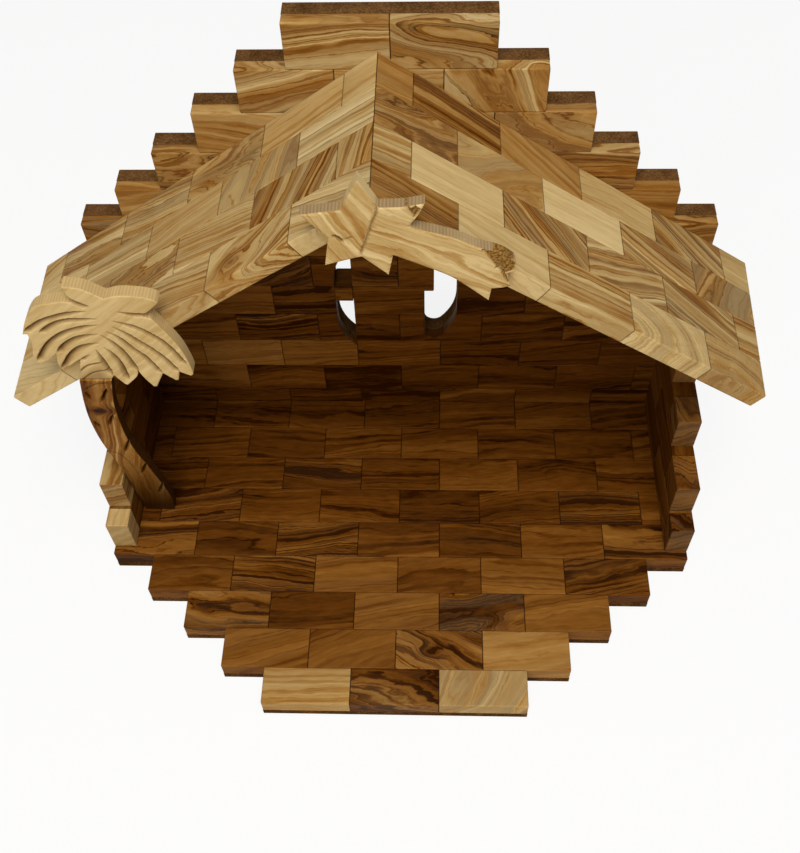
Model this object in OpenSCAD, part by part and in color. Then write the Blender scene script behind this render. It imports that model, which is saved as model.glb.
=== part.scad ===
// Nativity stable in olive wood: small bricks glued in running bond on two boards,
// a stepped gable, stepped side walls, a pitched roof, a comet star and a palm tree.
// X runs left to right, Y runs from the front to the back and Z points up.
// The origin is on the underside, in the middle of the floor from side to side
// and halfway between the floor's front edge and the back of the wall.

/* [Bricks] */
// Length of a whole brick
brick_length = 40; // [36:0.5:44]
// Open joint between the ends of two bricks
glue_gap = 0.2; // [0.1:0.05:0.4]

/* [Floor] */
// Thickness of the board under the floor bricks
floor_board_thickness = 3.8; // [3:0.1:6]
// Thickness of the floor bricks
floor_brick_thickness = 9; // [7:0.5:12]
// Depth of the front row of floor bricks
front_row_depth = 17.1; // [15:0.1:20]
// Depth of each row in between
floor_row_depth = 19.15; // [17:0.05:21]
// Depth of the row that meets the back wall
back_row_depth = 17.6; // [15:0.1:20]

/* [Back wall] */
// Height of one course of the back wall
course_height = 19.8; // [18:0.1:21]
// Thickness of the fibreboard behind the bricks
wall_board_thickness = 7.2; // [5:0.1:9]
// Thickness of the bricks glued on the fibreboard
wall_brick_thickness = 6; // [4:0.1:8]

/* [Window] */
// Radius of the right light's arcs
window_radius = 31.3; // [29:0.1:33]
// Distance from the middle of the wall to the centre of these arcs, towards the left
window_offset = 3.75; // [2:0.05:5]
// Height of the right light's lower arc centre above the underside
window_low_centre = 87.5; // [84:0.5:92]
// Height of the upper arc's centre above the underside, in both lights
window_high_centre = 106; // [102:0.5:112]
// Distance from the middle of the wall to the left light's jamb
left_jamb = 30.2; // [29:0.1:32]
// Radius of the left light's arcs
left_radius = 29; // [27:0.5:30]
// Height of the left light's lower arc centre above the underside
left_low_centre = 80; // [78:0.5:84]
// Distance from the middle of the wall to the bar's left edge
bar_left_edge = 21.7; // [20:0.1:23]
// Shortest end of a brick that stays beside the bar
shortest_end = 3; // [2:0.5:6]
// Distance from the middle of the wall to the bar's right edge, below
bar_right = 12; // [10:0.5:14]
// Distance from the middle of the wall to the bar's right edge, above
bar_right_above = 16.6; // [15:0.1:19]
// Height at which the bar gets wider
bar_step_height = 99.5; // [96:0.5:102]
// Radius of the sawn corner at the foot of the right light
window_corner_radius = 4.6; // [3:0.1:6]
// Height of the strip that crosses the left light
crosspiece_height = 9; // [7:0.5:11]
// Height of the strip's upper face above the underside
crosspiece_top = 101.5; // [99:0.5:104]

/* [Side walls] */
// Thickness of the bricks in the side walls
side_thickness = 10.8; // [9:0.1:12]
// How much lower a course of the side walls is than one of the back wall
side_course_trim = 0.24; // [0:0.02:0.6]
// Length of the lowest course, from the back wall forwards
side_first_length = 90; // [84:1:94]
// Length of the second course
side_second_length = 79; // [70:1:83]
// Length of the third course
side_third_length = 55; // [45:1:65]
// Length of the courses above, which carry the roof
side_upper_length = 32; // [25:1:40]

/* [Roof] */
// Distance from the middle of the wall to the ridge, towards the left
ridge_offset = 4.6; // [2:0.1:6]
// Thickness of the roof bricks
roof_thickness = 8.3; // [7:0.1:10]
// Angle of the left slope to the floor, in degrees
left_slope_angle = 35.6; // [34:0.1:37]
// Angle of the right slope to the floor, in degrees
right_slope_angle = 34.4; // [33:0.1:36]
// Length of the left slope along its front edge
left_slope_length = 189.5; // [182:0.5:195]
// Length of the right slope along its front edge
right_slope_length = 189.3; // [182:0.5:195]
// How much longer the left slope is along its rear edge
left_flare = 4.8; // [0:0.1:6]
// How much longer the right slope is along its rear edge
right_flare = 6.6; // [0:0.1:8]
// Depth of one row of roof bricks, front to back
roof_row_depth = 19.6; // [17:0.1:21]
// Length of a whole roof brick along the slope
roof_brick_length = 40.6; // [36:0.2:44]
// First seam from the ridge in the rear row and the third row
near_seam = 16; // [10:0.5:20]
// First seam from the ridge in the second row and the front row
far_seam = 36; // [30:0.5:40]

/* [Comet star] */
// Size of the star, from its middle to an average tip
star_radius = 26; // [22:0.5:30]
// Thickness of the star and its tail
star_thickness = 4.6; // [3:0.1:6]
// Distance from the ridge line to the middle of the star, towards the left
star_offset = 1.5; // [0:0.1:3]
// How far the middle of the star lies below the ridge
star_drop = 12.7; // [9:0.1:16]

/* [Palm tree] */
// Width of the crown of fronds
crown_width = 60; // [54:0.5:66]
// Height of the crown from its neck to its top
crown_height = 54; // [48:0.5:60]
// Thickness of the crown
crown_thickness = 5.4; // [3:0.1:7]
// How far the crown's neck lies below the roof's upper edge
neck_drop = 9.8; // [7:0.1:12]
// Clearance between the trunk and the side wall
palm_clearance = 1; // [0.4:0.1:4]
// Width of the trunk at its neck
trunk_width = 12.2; // [10:0.1:14]
// Thickness of the trunk, front to back
trunk_thickness = 5.4; // [4.5:0.1:6.5]
// How far the foot of the trunk stands behind its neck
trunk_foot_depth = 16; // [12:0.1:20]

/* [Hidden] */

$fn = 96;
// Bricks in the narrowest and in the widest row of the floor, and rows in all
floor_front_bricks = 3;
widest_bricks = 7;
floor_rows = 9;
// Bricks in the top course of the gable, and courses in all
gable_top_bricks = 2;
wall_courses = 12;
roof_rows = 4;
side_courses = 6;
// A brick is never cut shorter than this
least_brick_length = 3;
// How far a cut runs past the wood
cut_overrun = 1;

half_brick = brick_length / 2;
half_width = widest_bricks * half_brick;
floor_top = floor_board_thickness + floor_brick_thickness;
floor_depth = front_row_depth + (floor_rows - 2) * floor_row_depth + back_row_depth;
wall_thickness = wall_board_thickness + wall_brick_thickness;
stable_depth = floor_depth + wall_thickness;
floor_front = -stable_depth / 2;
wall_front = floor_front + floor_depth;
wall_board_front = wall_front + wall_brick_thickness;
wall_back = wall_front + wall_thickness;
wall_foot = floor_board_thickness;
wall_top = wall_foot + wall_courses * course_height;
roof_front = wall_front - roof_rows * roof_row_depth;
side_course_height = course_height - side_course_trim;
side_lengths = [side_first_length, side_second_length, side_third_length,
                side_upper_length, side_upper_length, side_upper_length];

window_left = -left_jamb;
bar_left = -bar_left_edge;
corner_x = bar_right + window_corner_radius;
corner_reach = window_radius - window_corner_radius;
corner_z = window_low_centre - sqrt(pow(corner_reach, 2) - pow(corner_x + window_offset, 2));
corner_share = window_radius / corner_reach;
corner_touch = [-window_offset + (corner_x + window_offset) * corner_share,
                window_low_centre + (corner_z - window_low_centre) * corner_share];

// The roof rests on the inner upper edge of the left wall
ridge_height = floor_top + side_courses * side_course_height
    + (half_width - side_thickness - ridge_offset) * tan(left_slope_angle)
    + roof_thickness / cos(left_slope_angle);

// Middle of the star, and the neck of the palm
star_x = -ridge_offset - star_offset;
star_z = ridge_height - star_drop;
trunk_swell_share = 0.88;
palm_reach = half_width - side_thickness - palm_clearance - trunk_swell_share * trunk_width;
neck_height = ridge_height - (palm_reach - ridge_offset) * tan(left_slope_angle) - neck_drop;
trunk_top = neck_height - glue_gap;
trunk_height = trunk_top - floor_top;
trunk_lean_share = trunk_foot_depth / trunk_height;

// The back of the trunk touches the lower front edge of the roof on its left side
trunk_edge_share = 0.62;
edge_drop = roof_thickness / cos(left_slope_angle) - neck_drop
    + trunk_edge_share * trunk_width * tan(left_slope_angle);
neck_back = roof_front - glue_gap - trunk_lean_share * edge_drop;

// The star and its tail, as shares of the star's radius from its middle
star_outline_shares = [
    [-0.07, 0.93], [0.17, 0.47], [0.47, 0.48], [0.76, 0.54], [0.68, 0.36], [0.56, 0.16],
    [0.64, 0.11], [1.10, -0.04], [1.45, -0.22], [1.74, -0.33], [1.94, -0.48], [1.97, -0.64],
    [1.85, -0.70], [1.91, -0.95], [1.80, -0.98], [1.66, -1.00], [1.63, -1.23], [1.19, -0.83],
    [0.87, -0.63], [0.34, -0.36], [0.27, -0.73], [-0.07, -0.39], [-0.15, -0.41], [-0.57, -0.55],
    [-0.49, -0.05], [-0.83, 0.35], [-0.30, 0.43]
];
// The crown of fronds, as shares of its width and height from the neck
crown_outline_shares = [
    [-0.11, 0.00], [-0.09, 0.05], [-0.08, 0.11], [-0.05, 0.23], [-0.14, 0.15], [-0.20, 0.11],
    [-0.21, 0.18], [-0.19, 0.29], [-0.24, 0.23], [-0.32, 0.17], [-0.34, 0.18], [-0.35, 0.26],
    [-0.32, 0.39], [-0.32, 0.50], [-0.35, 0.50], [-0.30, 0.63], [-0.24, 0.74], [-0.18, 0.80],
    [-0.07, 0.83], [0.00, 0.84], [0.14, 0.80], [0.05, 0.87], [0.03, 0.92], [0.02, 0.99],
    [0.12, 0.97], [0.18, 0.93], [0.25, 0.87], [0.34, 0.90], [0.47, 0.89], [0.55, 0.86],
    [0.57, 0.83], [0.53, 0.78], [0.47, 0.72], [0.31, 0.74], [0.50, 0.67], [0.56, 0.53],
    [0.62, 0.36], [0.65, 0.20], [0.66, 0.07], [0.64, 0.04], [0.57, 0.09], [0.55, -0.01],
    [0.53, -0.01], [0.46, 0.07], [0.39, -0.09], [0.37, -0.09], [0.33, 0.00], [0.30, 0.10],
    [0.28, 0.03], [0.20, -0.07], [0.18, -0.06], [0.13, 0.04], [0.105, 0.00]
];
// The two edges of the trunk, as shares of its neck width and its height
trunk_left_shares = [
    [-0.85, 0.00], [-0.87, 0.12], [-0.86, 0.25], [-trunk_swell_share, 0.38], [-0.99, 0.50], [-1.03, 0.62],
    [-0.97, 0.75], [-0.80, 0.87], [-0.54, 1.00]
];
trunk_right_shares = [
    [0.51, 1.00], [0.21, 0.87], [0.06, 0.75], [-0.02, 0.62], [0.04, 0.50], [0.20, 0.38],
    [0.34, 0.25], [0.46, 0.12], [0.32, 0.00]
];

// Cuts of a run of bricks: its two ends and the seams between them
function cuts(low, high, first, pitch) = concat(
    [low],
    [for (seam = first; seam < high - least_brick_length; seam = seam + pitch)
        if (seam > low + least_brick_length) seam],
    [high]);

// Number of bricks in a floor row, counted from the front
function floor_bricks(row) = min(floor_front_bricks + row - 1, widest_bricks);
// Where a floor row starts, front to back
function floor_row_start(row) = row == 1 ? floor_front
    : row > floor_rows ? wall_front
    : floor_front + front_row_depth + (row - 2) * floor_row_depth;
// Number of bricks in a course of the back wall, counted from the top
function wall_bricks(course) = min(gable_top_bricks + course - 1, widest_bricks);
function course_top(course) = wall_top - (course - 1) * course_height;
// Seams lie on the middle line in every other row
function first_seam(middle) = -half_width + (middle ? half_brick : 0);
// Points along a slope: side is -1 on the left and 1 on the right
function slope_angle(side) = side < 0 ? left_slope_angle : right_slope_angle;
// Length of a slope, so many rows behind its front edge
function slope_length(side, rows_behind) = side < 0
    ? left_slope_length + left_flare * rows_behind / roof_rows
    : right_slope_length + right_flare * rows_behind / roof_rows;
function slope_point(side, along, below) = [
    side * (along * cos(slope_angle(side)) - below * sin(slope_angle(side))),
    -along * sin(slope_angle(side)) - below * cos(slope_angle(side))];

// A box between two corners
module block(low, high) {
    translate(low) cube(high - low);
}

// A flat outline in X and Z, as thick as it reaches from front to back
module upright(front, back) {
    translate([0, back, 0]) rotate([90, 0, 0]) linear_extrude(back - front) children();
}

// Bricks side by side between the cuts of one row
module brick_run(seams, front, back, bottom, top) {
    for (i = [0 : len(seams) - 2])
        block([seams[i] + glue_gap / 2, front, bottom], [seams[i + 1] - glue_gap / 2, back, top]);
}

// One light of the window: two round ends with straight jambs between them
module round_ended(centre, radius, low, high) {
    translate([centre, low]) circle(radius);
    translate([centre, high]) circle(radius);
    translate([centre - radius, low]) square([2 * radius, high - low]);
}

// The window: two lights on either side of the upright bar
module window_outline() {
    intersection() {
        round_ended(window_left + left_radius, left_radius, left_low_centre, window_high_centre);
        translate([window_left, 0]) square([bar_left - window_left, wall_top]);
    }
    difference() {
        round_ended(-window_offset, window_radius, window_low_centre, window_high_centre);
        translate([-half_width, 0]) square([half_width + bar_right, wall_top]);
        translate([-half_width, bar_step_height])
            square([half_width + bar_right_above, wall_top]);
        difference() {
            polygon([[bar_right, corner_z - window_radius], [bar_right, corner_z],
                     [corner_x, corner_z], corner_touch,
                     [corner_touch[0], corner_z - window_radius]]);
            translate([corner_x, corner_z]) circle(window_corner_radius);
        }
    }
}

module window_cut() {
    upright(wall_front - cut_overrun, wall_back + cut_overrun) window_outline();
}

// Thin board cut to the stepped outline of the floor, which also carries the back wall
module floor_board() color("saddlebrown") {
    for (row = [1 : widest_bricks - floor_front_bricks])
        block([-floor_bricks(row) * half_brick, floor_row_start(row), 0],
              [floor_bricks(row) * half_brick, floor_row_start(row + 1), floor_board_thickness]);
    block([-half_width, floor_row_start(widest_bricks - floor_front_bricks + 1), 0],
          [half_width, wall_back, floor_board_thickness]);
}

// One row of floor bricks, counted from the front
module floor_row(row) color("burlywood") {
    half_row = floor_bricks(row) * half_brick;
    brick_run(cuts(-half_row, half_row, first_seam(row % 2 == 0), brick_length),
              floor_row_start(row), floor_row_start(row + 1), floor_board_thickness, floor_top);
}

// Fibreboard behind the wall bricks, with the same steps and the same window
module back_board() color("sienna") difference() {
    union() {
        for (course = [1 : widest_bricks - gable_top_bricks])
            block([-wall_bricks(course) * half_brick, wall_board_front, course_top(course + 1)],
                  [wall_bricks(course) * half_brick, wall_back, course_top(course)]);
        block([-half_width, wall_board_front, wall_foot],
              [half_width, wall_back, course_top(widest_bricks - gable_top_bricks + 1)]);
    }
    window_cut();
}

// One course of wall bricks, counted from the top of the gable
module back_wall_course(course) color("peru") {
    half_course = wall_bricks(course) * half_brick;
    regular = cuts(-half_course, half_course, first_seam(course % 2 == 1), brick_length);
    seams = [for (seam = regular) abs(seam - bar_left) < shortest_end ? bar_left : seam];
    difference() {
        brick_run(seams, wall_front, wall_board_front, course_top(course + 1), course_top(course));
        window_cut();
    }
}

// Strip of wood across the left light of the window, between the jamb and the bar
module window_crosspiece() color("peru") intersection() {
    block([window_left, wall_front, crosspiece_top - crosspiece_height],
          [bar_left - glue_gap / 2, wall_back, crosspiece_top]);
    window_cut();
}

// The space that the roof fills, from its underside upwards
module roof_space(side) {
    upright(roof_front - cut_overrun, wall_front + cut_overrun)
        translate([-ridge_offset, ridge_height])
            polygon([slope_point(side, -ridge_height, roof_thickness),
                     slope_point(side, half_width + ridge_height, roof_thickness),
                     slope_point(side, half_width + ridge_height, -ridge_height),
                     slope_point(side, -ridge_height, -ridge_height)]);
}

// One course of a side wall, counted from the floor: the front ends step back,
// and the upper courses are cut to the slope of the roof
module side_wall_course(side, course) color("tan") {
    inner = half_width - side_thickness;
    bottom = floor_top + (course - 1) * side_course_height;
    seams = cuts(0, side_lengths[course - 1], course % 2 == 0 ? half_brick : brick_length,
                 brick_length);
    difference() {
        for (i = [0 : len(seams) - 2])
            block([side < 0 ? -half_width : inner, wall_front - seams[i + 1] + glue_gap / 2, bottom],
                  [side < 0 ? -inner : half_width, wall_front - seams[i] - (i > 0 ? glue_gap / 2 : 0),
                   bottom + side_course_height]);
        roof_space(side);
    }
}

// A roof brick as seen on its slope: from start to end on its front and on its back edge
module slope_brick(side, front, back, start, front_end, back_end) {
    angle = slope_angle(side);
    multmatrix([[side * cos(angle), 0, side * sin(angle), -ridge_offset],
                [0, 1, 0, 0],
                [-sin(angle), 0, cos(angle), ridge_height]])
        translate([0, 0, -roof_thickness]) linear_extrude(roof_thickness)
            polygon([[start, front], [front_end, front], [back_end, back], [start, back]]);
}

// One row of roof bricks, counted from the rear, mitred at the ridge. The eaves are sawn
// in one straight line, a little longer at the rear
module roof_row(side, row) color("wheat") {
    back = wall_front - (row - 1) * roof_row_depth;
    front = back - roof_row_depth;
    front_length = slope_length(side, roof_rows - row);
    back_length = slope_length(side, roof_rows - row + 1);
    seams = cuts(0, front_length, row % 2 == 1 ? near_seam : far_seam, roof_brick_length);
    mitre = roof_thickness * tan(slope_angle(side));
    upright(front, back)
        translate([-ridge_offset, ridge_height])
            polygon([slope_point(side, glue_gap / 2, 0), slope_point(side, seams[1] - glue_gap / 2, 0),
                     slope_point(side, seams[1] - glue_gap / 2, roof_thickness),
                     slope_point(side, glue_gap / 2 + mitre, roof_thickness)]);
    for (i = [1 : len(seams) - 2]) {
        last = i == len(seams) - 2;
        slope_brick(side, front, back, seams[i] + glue_gap / 2,
                    last ? front_length : seams[i + 1] - glue_gap / 2,
                    last ? back_length : seams[i + 1] - glue_gap / 2);
    }
}

// Five-pointed star with a forked tail, sawn from one flat piece and glued on the roof's edge
module comet_star() color("moccasin")
    upright(roof_front - star_thickness, roof_front)
        translate([star_x, star_z])
            polygon([for (p = star_outline_shares) p * star_radius]);

// Crown of fronds, sawn from one flat piece and glued on the roof's edge
module palm_crown() color("moccasin")
    upright(roof_front - crown_thickness, roof_front)
        translate([-palm_reach, neck_height])
            polygon([for (p = crown_outline_shares) [p[0] * crown_width, p[1] * crown_height]]);

// Trunk of the palm, which stands on the floor and leans forward against the roof's edge
module palm_trunk() color("peru") {
    outline = [for (p = concat(trunk_left_shares, trunk_right_shares))
        [p[0] * trunk_width, p[1] * trunk_height]];
    multmatrix([[1, 0, 0, -palm_reach], [0, 1, -trunk_lean_share, neck_back + trunk_foot_depth],
                [0, 0, 1, floor_top]])
        upright(-trunk_thickness, 0) polygon(outline);
}

floor_board();
floor_row(1);  // floor_row_1
floor_row(2);  // floor_row_2
floor_row(3);  // floor_row_3
floor_row(4);  // floor_row_4
floor_row(5);  // floor_row_5
floor_row(6);  // floor_row_6
floor_row(7);  // floor_row_7
floor_row(8);  // floor_row_8
floor_row(9);  // floor_row_9
back_board();
back_wall_course(1);  // back_wall_course_1
back_wall_course(2);  // back_wall_course_2
back_wall_course(3);  // back_wall_course_3
back_wall_course(4);  // back_wall_course_4
back_wall_course(5);  // back_wall_course_5
back_wall_course(6);  // back_wall_course_6
back_wall_course(7);  // back_wall_course_7
back_wall_course(8);  // back_wall_course_8
back_wall_course(9);  // back_wall_course_9
back_wall_course(10);  // back_wall_course_10
back_wall_course(11);  // back_wall_course_11
back_wall_course(12);  // back_wall_course_12
window_crosspiece();
side_wall_course(-1, 1);  // left_wall_course_1
side_wall_course(-1, 2);  // left_wall_course_2
side_wall_course(-1, 3);  // left_wall_course_3
side_wall_course(-1, 4);  // left_wall_course_4
side_wall_course(-1, 5);  // left_wall_course_5
side_wall_course(-1, 6);  // left_wall_course_6
side_wall_course(1, 1);  // right_wall_course_1
side_wall_course(1, 2);  // right_wall_course_2
side_wall_course(1, 3);  // right_wall_course_3
side_wall_course(1, 4);  // right_wall_course_4
side_wall_course(1, 5);  // right_wall_course_5
side_wall_course(1, 6);  // right_wall_course_6
roof_row(-1, 1);  // left_roof_row_1
roof_row(-1, 2);  // left_roof_row_2
roof_row(-1, 3);  // left_roof_row_3
roof_row(-1, 4);  // left_roof_row_4
roof_row(1, 1);  // right_roof_row_1
roof_row(1, 2);  // right_roof_row_2
roof_row(1, 3);  // right_roof_row_3
roof_row(1, 4);  // right_roof_row_4
comet_star();
palm_crown();
palm_trunk();
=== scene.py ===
# %% [markdown]
# A nativity stable in olive wood.
# Short bricks of olive wood are glued in running bond on a thin floor board and on a
# fibreboard with a stepped gable. A pitched roof of the same bricks leans on the side
# walls, and a carved comet star and a carved palm are glued on its front edge. Olive
# wood is pale and golden with smoky clouds and nearly black lines, and every brick
# shows another piece of that figure.
#
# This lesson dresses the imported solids. Each node keeps its place and its size and gets
# eased edges and a grain of its own. Then one wood material reads that grain.

import math
import random
from functools import partial

import bmesh
import bpy
import numpy as np
from mathutils import Matrix, Vector
from mathutils.bvhtree import BVHTree
from mathutils.geometry import delaunay_2d_cdt


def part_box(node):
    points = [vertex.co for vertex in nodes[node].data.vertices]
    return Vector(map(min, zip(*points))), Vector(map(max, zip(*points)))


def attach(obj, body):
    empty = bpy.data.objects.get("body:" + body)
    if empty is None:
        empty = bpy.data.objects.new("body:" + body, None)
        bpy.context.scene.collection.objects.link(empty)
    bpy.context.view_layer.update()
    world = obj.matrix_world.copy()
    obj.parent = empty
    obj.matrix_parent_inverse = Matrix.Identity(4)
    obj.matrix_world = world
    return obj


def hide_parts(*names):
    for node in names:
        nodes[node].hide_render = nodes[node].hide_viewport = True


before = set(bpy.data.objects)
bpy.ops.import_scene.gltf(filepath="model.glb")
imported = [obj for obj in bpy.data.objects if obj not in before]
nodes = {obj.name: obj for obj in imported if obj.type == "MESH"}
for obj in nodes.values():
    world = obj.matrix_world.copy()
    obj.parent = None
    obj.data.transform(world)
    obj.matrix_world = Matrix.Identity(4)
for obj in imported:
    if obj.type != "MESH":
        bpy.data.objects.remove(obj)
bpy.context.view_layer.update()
MM = 0.001
print("solids:", len(nodes), "nodes")

# %% [markdown]
# The camera comes first.
# The stable was photographed from above and a little to the right of its middle. The
# place, the angles and the lens were fitted to the corners of the brick rows, so they
# are plain numbers here. A camera looks straight down at first, so it is rolled, then
# tipped up about X, and then turned about the upright Z.

# %% Set up the camera
CAMERA_PLACE_MM = (17.1, -258.9, 465.3)
CAMERA_YAW, CAMERA_PITCH, CAMERA_ROLL = (math.radians(a) for a in (-3.23, 54.69, -2.28))
FILM_MM, LENS_MM = 36, 47.12
turned = (Matrix.Rotation(-CAMERA_YAW, 4, "Z") @ Matrix.Rotation(math.pi / 2 - CAMERA_PITCH, 4, "X")
          @ Matrix.Rotation(CAMERA_ROLL, 4, "Z"))


def put(name, data):
    """A new object in the scene."""
    item = bpy.data.objects.new(name, data)
    bpy.context.scene.collection.objects.link(item)
    return item


lens = bpy.data.cameras.new("camera")
lens.sensor_fit = "HORIZONTAL"
lens.sensor_width = FILM_MM
lens.lens = LENS_MM
lens.clip_start = 0.01
camera = put("camera", lens)
camera.matrix_world = Matrix.Translation(Vector(CAMERA_PLACE_MM) * MM) @ turned
bpy.context.scene.camera = camera
print("camera at", CAMERA_PLACE_MM)

# %% [markdown]
# Two small helpers serve every finish.
# Colours are written as the hex values of a paint chart, and Blender shades in linear
# light, so one function turns the first into the second. The other adds a node to a
# material. It returns the node's output, so a recipe reads like a calculation.

# %% Helpers for colours and nodes
def srgb(hex_value):
    """A hex colour as linear red, green, blue and alpha."""
    parts = [int(hex_value[i:i + 2], 16) / 255 for i in (1, 3, 5)]
    return tuple(p / 12.92 if p <= 0.04045 else ((p + 0.055) / 1.055) ** 2.4 for p in parts) + (1,)


def add(tree, kind, *feeds, out=0, stops=(), named=(), **settings):
    """Adds one node, feeds its open inputs in order, and returns one of its outputs.

    An operation stands behind the kind. A feed is a value, a hex colour or another node's
    output. Inputs that go by name are in named, and the stops of a ramp are places and
    colours from low to high.
    """
    kind, _, operation = kind.partition(" ")
    made = tree.nodes.new("ShaderNode" + kind)
    if operation:
        made.operation = operation
    for key, value in settings.items():
        setattr(made, key, value)
    pairs = list(zip([socket for socket in made.inputs if socket.enabled], feeds))
    pairs += [(made.inputs[key], value) for key, value in dict(named).items()]
    for socket, value in pairs:
        if isinstance(value, bpy.types.NodeSocket):
            tree.links.new(value, socket)
        else:
            socket.default_value = srgb(value) if isinstance(value, str) else value
    if stops:
        ramp = made.color_ramp.elements
        ramp.remove(ramp[1])
        ramp[0].position, ramp[0].color = stops[0][0], srgb(stops[0][1])
        for place, colour in stops[1:]:
            ramp.new(place).color = srgb(colour)
    results = [socket for socket in made.outputs if socket.enabled]
    return {key: socket for i, socket in enumerate(results) for key in (i, socket.name)}.get(out)


def empty_material(name):
    """A material without nodes, and the function above for its tree."""
    material = bpy.data.materials.new(name)
    material.use_nodes = True
    material.node_tree.nodes.clear()
    return material, partial(add, material.node_tree)


print("white is", srgb("#FFFFFF"))

# %% [markdown]
# Olive wood.
# A tree grows in thin layers. Where a saw crosses them the face shows lines, and where
# it runs along them it shows loops and clouds. So the material doesn't draw lines: it
# works out in which layer a point of the brick lies, from the brick's own grain
# coordinates in millimetres, and gives every layer a colour. Slow noise bends the
# layers into the swirls of olive wood, and a knot pushes them aside. Each brick brings
# its own numbers: tone, contrast, dark lines, bend and smoke.

# %% Colours and sizes of the olive wood
UMBER, BROWN, AMBER = "#2A1000", "#5B3209", "#80521D"
HONEY, PALE, CREAM = "#9C733B", "#B3955F", "#CBB07C"
SMOKE, SOOT, END_GRAIN = "#8B7350", "#3B2511", "#6E5436"
TONES = [(0.0, UMBER), (0.2, BROWN), (0.42, AMBER), (0.6, HONEY), (0.8, PALE), (1.0, CREAM)]
# A bold line about every 6 mm, unevenly over 11 mm, soft bands of 7 mm, pencil lines of
# 3 mm, and smoke that drifts over 8 mm
LINE_MM, UNEVEN_MM, BAND_MM, PENCIL_MM, SMOKE_MM = 6.0, 11.0, 7.0, 3.0, 25 / 3
# The layers wave once in about 60 mm along the grain and 16 mm across it
BEND_MM = (60, 16, 16)
# Small ripples, patches in which lines fade, drifting tone, and the fibres
RIPPLE_MM = (13, 4, 4)
PATCH_MM = (34, 9, 9)
DRIFT_MM = (70, 22, 22)
FIBRE_MM = (6, 1.1, 1.1)
# How far full bend and the ripples move a layer
BEND_REACH_MM, RIPPLE_REACH_MM, STILL_RIPPLE_MM = 70, 6, 2
# How far a knot reaches, and how far it pushes the layers
KNOT_MM = (5.5, 3.4, 3.4)
KNOT_PUSH_MM = 6.0
# How much bands, drift, fibres, a knot and a pencil line change the tone
BAND_TONE, DRIFT_TONE, FIBRE_TONE, KNOT_TONE, PENCIL_TONE = 1.8, 0.7, 0.2, -0.28, -0.75
# Shares from noise, times the first number plus the second, held between 0 and 1
STRONG, WEAK, HAZE, PENCIL = (4.5, -1.5), (-4.5, 3.1), (6, -2.5), (-15, 1)
# How much of the colour the end grain covers, and the glue and painted shade of a seam
END_SHARE, SEAM_SHARE = 0.35, 0.5
# One stroke of the saw
STRIPE_MM = 1.2
print("bold lines every", LINE_MM, "mm")

# %% Noise in the wood
def field(node, grain, size_mm, shift, detail, rough):
    """Noise with patches of the given sizes along and across the grain."""
    place = node("VectorMath MULTIPLY_ADD", grain, tuple(1 / size for size in size_mm), shift)
    return node("TexNoise", place, 1, detail, rough)


def by_layer(node, layer, size_mm, detail, rough, shift=0):
    """Noise that changes only from layer to layer."""
    place = node("Math MULTIPLY_ADD", layer, 1 / size_mm, shift)
    return node("TexNoise", place, 1, detail, rough, noise_dimensions="1D")


def around_zero(node, noise):
    return node("Math SUBTRACT", noise, 0.5)


print("the finest noise:", FIBRE_MM[1], "mm")

# %% The layer of a point
def layer_of(node, grain, knot, bend):
    """The layer in millimetres, and how near the core of a knot is.

    Layers are flat or rings around the knot, and they are bent, rippled and pushed aside.
    """
    rings = node("Attribute", attribute_name="rings", out="Fac")
    flat = node("SeparateXYZ", grain, out="Y")
    around = node("VectorMath MULTIPLY", knot, (0.7, 1, 0.3))
    around = node("VectorMath LENGTH", around)
    layer = node("Mix", rings, flat, around)
    slow = around_zero(node, field(node, grain, BEND_MM, (0, 0, 0), 1, 0.4))
    reach = node("Math MULTIPLY", bend, BEND_REACH_MM)
    layer = node("Math MULTIPLY_ADD", slow, reach, layer)
    quick = around_zero(node, field(node, grain, RIPPLE_MM, (7, 3, 5), 3, 0.55))
    reach = node("Math MULTIPLY_ADD", bend, RIPPLE_REACH_MM, STILL_RIPPLE_MM)
    layer = node("Math MULTIPLY_ADD", quick, reach, layer)
    core = node("VectorMath MULTIPLY", knot, tuple(1 / size for size in KNOT_MM))
    core = node("VectorMath DOT_PRODUCT", core, core)
    core = node("Math EXPONENT", node("Math MULTIPLY", core, -1))
    return node("Math MULTIPLY_ADD", core, KNOT_PUSH_MM, layer), core


print("full bend moves a layer by up to", BEND_REACH_MM / 2, "mm")

# %% Dark lines
# A bold line is a sharp edge and a soft tail: how fast each falls off, and how dark it is
EDGE_FALL, EDGE_DARK, TAIL_FALL, TAIL_DARK = 14, 0.6, 3, 0.34
# How far unevenness moves the lines, how surely a layer is dark, and how strong pencil
# lines are, for each dark line and at least
UNEVEN_LINES, DARK_OR_NOT, PENCIL_MORE, PENCIL_LEAST = 3, 2.5, 0.5, 0.12


def bold_lines(node, layer, lines, strong):
    """Bold lines: a layer starts sharply and fades, and only some layers are dark."""
    count = node("Math DIVIDE", layer, LINE_MM)
    count = node("Math MULTIPLY_ADD", by_layer(node, layer, UNEVEN_MM, 1, 0.5),
                 UNEVEN_LINES, count)
    within = node("Math SUBTRACT", 1, node("Math FRACT", count))
    luck = node("TexWhiteNoise", node("Math FLOOR", count), noise_dimensions="1D")
    luck = node("Math SUBTRACT", node("Math ADD", luck, lines), 1)
    luck = node("Math MULTIPLY", luck, DARK_OR_NOT, use_clamp=True)
    tail = node("Math MULTIPLY", node("Math POWER", within, TAIL_FALL), TAIL_DARK)
    bold = node("Math MULTIPLY_ADD", node("Math POWER", within, EDGE_FALL), EDGE_DARK, tail)
    luck = node("Math MULTIPLY", luck, strong)
    return node("Math MULTIPLY", bold, luck)


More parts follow.
